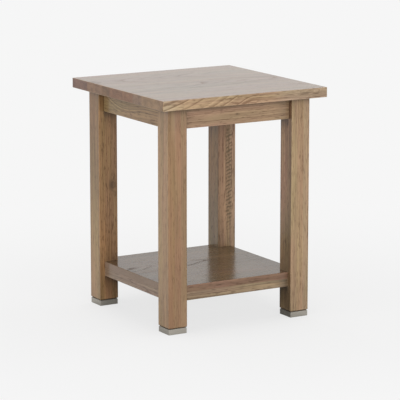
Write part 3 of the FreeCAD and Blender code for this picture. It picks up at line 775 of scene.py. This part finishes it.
panel = corners_of(*TOP_BOARDS)
for number, (name, board) in enumerate(TOP_BOARDS.items()):
    place, facing = new_look(name)
    low, high = corners_of(name)
    x, y, z = place.parts()
    ring, lines, swirl = OAK_RING, board["lines"], x * board["climb"]
    if name == "top_board_1":
        on_edge = y.ramp(low.y + EDGE_FADES[0], low.y + EDGE_FADES[1], 1.0, 0.0)
        past = (x - SLANT_END).at_most(0.0, SLANT_BLEND)
        knot = place.hump(EDGE_KNOT_CENTRE, EDGE_KNOT_REACH)
        swirl = (knot * EDGE_KNOT_SWIRL - past * SLANT - past ** 2 * SLANT_EASES) * on_edge
        ring = on_edge * (EDGE_RING - OAK_RING) + OAK_RING
        lines = on_edge * (x.ramp(*EDGE_LINES_END, *EDGE_LINES) - board["lines"]) + board["lines"]
    start = TOP_START + NEXT_CUT * number
    wood = sawn(place, ALONG_X, (low + high) / 2, board["heart"], start, ring, lines, swirl)
    stain = mixed(turned_to(facing, (0, 0, 1)), TOP_EDGE_STAIN, TOP_STAIN)
    colour, clear = stained(wood, stain, turned_to(facing, (0, 0, 1), TOP_EDGE_DEPTH, TOP_DEPTH))
    coat = turned_to(facing, (0, 0, 1), TOP_EDGE_COAT, TOP_COAT)
    coat = coat * (1.0 - wood["Open"] * TOP_COAT_SUNK).at_least(0.0)
    if name == "top_board_1":
        colour = mixed(on_edge, colour, colour * EDGE_PALER)
        colour = mixed(on_edge * x.ramp(*GREY_END_FROM), colour, colour * GREY_END_TINT)
        colour = mixed(on_edge * x.ramp(*CORNER_FADES, 1.0, 0.0), colour, colour * CORNER_TINT)
        cloud = place.hump(EDGE_CLOUD_CENTRE, EDGE_CLOUD_REACH) * on_edge
        colour = stain_and_shade(colour, cloud, EDGE_CLOUD_SHADE)
        streaks = place.noise(waves=(30.0, 200.0, 200.0)).ramp(*EDGE_KNOT_STREAKS)
        colour = mixed(knot * streaks * EDGE_KNOT_SHOWS, colour, EDGE_KNOT_COLOUR)
    end = place.noise(waves=(10.0, 45.0, 60.0)).ramp(*NOISE_SPAN, *END_TONES).times(board["end"])
    lacquered(place, facing, ALONG_X, wood, colour, clear, panel, end, coat, sunk=TOP_SUNK)


# Feet. Four square pads of brushed metal a little narrower than the legs, each below a narrow neck coloured
# nearly black, as its finish and as painted shade in the gap. Their front and back faces carry painted
# light, their left and right sides painted shade, and the right pair is darker with painted shade. One screw
# holds each.

PAD_DARK = (0.37, 0.343, 0.295)
PAD_LIGHT = (0.48, 0.448, 0.39)
PAD_METALLIC = 0.75
PAD_ROUGHNESS = (0.32, 0.46)
PAD_FRONT_PAINTED_LIGHT = 1.05
PAD_SIDE_PAINTED_SHADE = 0.89
PAD_RIGHT_PAINTED_SHADE = 0.88
# The neck is nearly black, as its own finish and as painted shade in the gap under the leg.
NECK_FROM = 0.0151
NECK_COLOUR_AND_SHADE = (0.05, 0.035, 0.025)
NECK_ROUGHNESS = 0.8
place, facing = new_look("foot_front_left", "foot_front_right", "foot_back_left", "foot_back_right")
brushing = place.noise(waves=(9.0, 9.0, 1400.0))
x, y, z = place.parts()
on_neck = z > NECK_FROM
# Painted light on the front and back faces, painted shade on the left and right sides and on the right pair.
tone = turned_to(facing, (1, 0, 0), PAD_FRONT_PAINTED_LIGHT, PAD_SIDE_PAINTED_SHADE)
tone = tone * ((x > 0.0) * (PAD_RIGHT_PAINTED_SHADE - 1.0) + 1.0)
pad_colour = mixed(brushing, PAD_DARK, PAD_LIGHT) * tone
pad_roughness = brushing * (PAD_ROUGHNESS[1] - PAD_ROUGHNESS[0]) + PAD_ROUGHNESS[0]
shader = place.tree.nodes["Principled BSDF"].inputs
plug(shader["Base Color"], mixed(on_neck, pad_colour, NECK_COLOUR_AND_SHADE))
plug(shader["Metallic"], (1.0 - on_neck) * PAD_METALLIC)
plug(shader["Roughness"], pad_roughness.at_least(on_neck * NECK_ROUGHNESS))


# Screws and washers. Zinc-plated steel, dulled in clouds by the plating bath, out of sight under the table.
# They hold the blocks to the aprons, the top to the blocks, the shelf to its rails and the feet to the legs.

ZINC_DULL = (0.50, 0.49, 0.46)
ZINC_BRIGHT = (0.66, 0.64, 0.58)
ZINC_ROUGHNESS = (0.22, 0.47)
place = new_look("top_screws", "top_screw_washers", "corner_block_screws", "shelf_screws", "foot_screws")[0]
cloud = place.noise(waves=(260.0, 260.0, 260.0), detail=3.0)
shader = place.tree.nodes["Principled BSDF"].inputs
plug(shader["Base Color"], mixed(cloud, ZINC_DULL, ZINC_BRIGHT))
plug(shader["Roughness"], cloud.ramp(0.0, 1.0, *ZINC_ROUGHNESS))
plug(shader["Metallic"], 1.0)


# Dowels. Turned beech pins, left raw and glued in, half in a shelf rail's end and half in a leg.
# They don't show once the table is together.

BEECH_DARK = (0.48, 0.33, 0.21)
BEECH_LIGHT = (0.64, 0.48, 0.33)
BEECH_ROUGHNESS = (0.60, 0.80)
place = new_look("shelf_rail_dowels")[0]
cloud = place.noise(waves=(120.0, 120.0, 120.0), detail=3.0)
shader = place.tree.nodes["Principled BSDF"].inputs
plug(shader["Base Color"], mixed(cloud, BEECH_DARK, BEECH_LIGHT))
plug(shader["Roughness"], cloud.ramp(0.0, 1.0, *BEECH_ROUGHNESS))


# Floor and background. A wide pale studio floor under a background of the same pale grey.
# Both look nearly white to the camera and in reflections, and the floor throws back little light.
# Close to the table the floor takes real shade, and its glow is darkened as painted shade where the table
# shuts out the open sky.

BACKGROUND = 0.922
AMBIENT = 0.45
FLOOR_REACH = 12.0
FLOOR_LEVEL = -0.0002
FLOOR_BOUNCE = (0.14, 0.14, 0.14)
FLOOR_WHITE = (0.9, 0.9, 0.9)
SHADE_SHARE = 0.15
SHADE_REACH = (0.4, 1.6)
SKY_REACH = 0.7
SKY_SPAN = (0.2, 0.95)
MIRRORED_SKY_SPAN = (0.1, 0.9)
UNDER_TABLE = 0.85
UNDER_TABLE_MIRRORED = 0.05

floor_mesh = bpy.data.meshes.new("floor")
outline = [(x * FLOOR_REACH, y * FLOOR_REACH, FLOOR_LEVEL) for x, y in ((-1, -1), (1, -1), (1, 1), (-1, 1))]
floor_mesh.from_pydata(outline, [], [(0, 1, 2, 3)])
floor = bpy.data.objects.new("floor", floor_mesh)
bpy.context.scene.collection.objects.link(floor)
floor_look = bpy.data.materials.new("pale_floor")
floor_look.use_nodes = True
floor_mesh.materials.append(floor_look)
tree = floor_look.node_tree
tree.nodes.remove(tree.nodes["Principled BSDF"])
path = {socket.name: Number(socket) for socket in tree.nodes.new("ShaderNodeLightPath").outputs}
from_table = Triple(tree.nodes.new("ShaderNodeTexCoord").outputs["Object"]).length()
open_sky = Number(add_node(tree, "ShaderNodeAmbientOcclusion", None, SKY_REACH).node.outputs["AO"])
below = Number(tree.nodes.new("ShaderNodeNewGeometry").outputs["Backfacing"])


def shining(strength):
    """A surface that gives off white light of a strength."""
    return Number(add_node(tree, "ShaderNodeEmission", (1, 1, 1), strength))


def matt(colour):
    """A surface of one matt colour."""
    return Number(add_node(tree, "ShaderNodeBsdfDiffuse", colour))


def blended(share, under, over):
    """One surface with a share of another over it."""
    return Number(add_node(tree, "ShaderNodeMixShader", share, under, over))


# The floor's glow darkens as painted shade where the table shuts out the open sky.
seen_floor = shining(open_sky.ramp(*SKY_SPAN, UNDER_TABLE, BACKGROUND))
seen_floor = blended(from_table.ramp(*SHADE_REACH, SHADE_SHARE, 0.0), seen_floor, matt(FLOOR_WHITE))
# In reflections the floor glows too, with painted shade under the table.
mirrored_floor = shining(open_sky.ramp(*MIRRORED_SKY_SPAN, UNDER_TABLE_MIRRORED, BACKGROUND))
surface = blended(path["Is Glossy Ray"], matt(FLOOR_BOUNCE), mirrored_floor)
surface = blended(path["Is Camera Ray"].at_least(path["Is Transmission Ray"]), surface, seen_floor)
surface = blended(below, surface, Number(add_node(tree, "ShaderNodeBsdfTransparent")))
plug(tree.nodes["Material Output"].inputs["Surface"], surface)

world = bpy.data.worlds.new("studio")
bpy.context.scene.world = world
world.use_nodes = True
world.cycles.sampling_method = "NONE"
path = {socket.name: Number(socket) for socket in world.node_tree.nodes.new("ShaderNodeLightPath").outputs}
seen = path["Is Camera Ray"].at_least(path["Is Glossy Ray"]).at_least(path["Is Transmission Ray"])
sky = world.node_tree.nodes["Background"].inputs
plug(sky["Color"], (1, 1, 1))
plug(sky["Strength"], seen * (BACKGROUND - AMBIENT) + AMBIENT)


# Lamps. Square studio lamps as soft as a large lampshade, low round the table.
# They don't show in the lacquer, which mirrors only the table, the floor and the background.

LAMP_AIM = Vector((0, 0, 0.35))


def seen_from(azimuth, elevation):
    """The direction towards a viewer, where azimuth 0 looks along +Y and turns towards +X."""
    turn, tilt = math.radians(azimuth), math.radians(elevation)
    return Vector((math.sin(turn) * math.cos(tilt), -math.cos(turn) * math.cos(tilt), math.sin(tilt)))


def soft_lamp(name, azimuth, elevation, distance, size, power):
    """A square lamp that faces the table from a direction."""
    lamp = bpy.data.lights.new(name, "AREA")
    lamp.size = size
    lamp.energy = power
    holder = bpy.data.objects.new(name, lamp)
    bpy.context.scene.collection.objects.link(holder)
    direction = seen_from(azimuth, elevation)
    holder.location = LAMP_AIM + direction * distance
    holder.rotation_euler = direction.to_track_quat("Z", "Y").to_euler()
    holder.visible_glossy = False


soft_lamp("front_lamp", azimuth=-1, elevation=7, distance=3.6, size=1.0, power=54)
soft_lamp("left_lamp", azimuth=-90, elevation=7, distance=3.6, size=0.6, power=36)
soft_lamp("corner_lamp", azimuth=-31, elevation=10, distance=4.0, size=1.0, power=46)
soft_lamp("back_lamp", azimuth=178, elevation=7, distance=3.6, size=1.0, power=54)
soft_lamp("right_lamp", azimuth=90, elevation=7, distance=3.6, size=0.6, power=36)


# Camera. A long lens well back from the table's left front corner, looking a little down on it.
# It aims near the middle of the table, and from so far off the upright sides stay nearly parallel.

CAMERA_AIM = Vector((-0.027078, -0.056178, 0.319960))
CAMERA_AZIMUTH = -30.590
CAMERA_ELEVATION = 11.145
CAMERA_DISTANCE = 6.33148
LENS = 208.877
SENSOR = 36.0

camera_data = bpy.data.cameras.new("camera")
camera_data.sensor_width = SENSOR
camera_data.lens = LENS
camera = bpy.data.objects.new("camera", camera_data)
bpy.context.scene.collection.objects.link(camera)
direction = seen_from(CAMERA_AZIMUTH, CAMERA_ELEVATION)
camera.location = CAMERA_AIM + direction * CAMERA_DISTANCE
camera.rotation_euler = direction.to_track_quat("Z", "Y").to_euler()
bpy.context.scene.camera = camera
bpy.context.scene.view_settings.view_transform = "Standard"
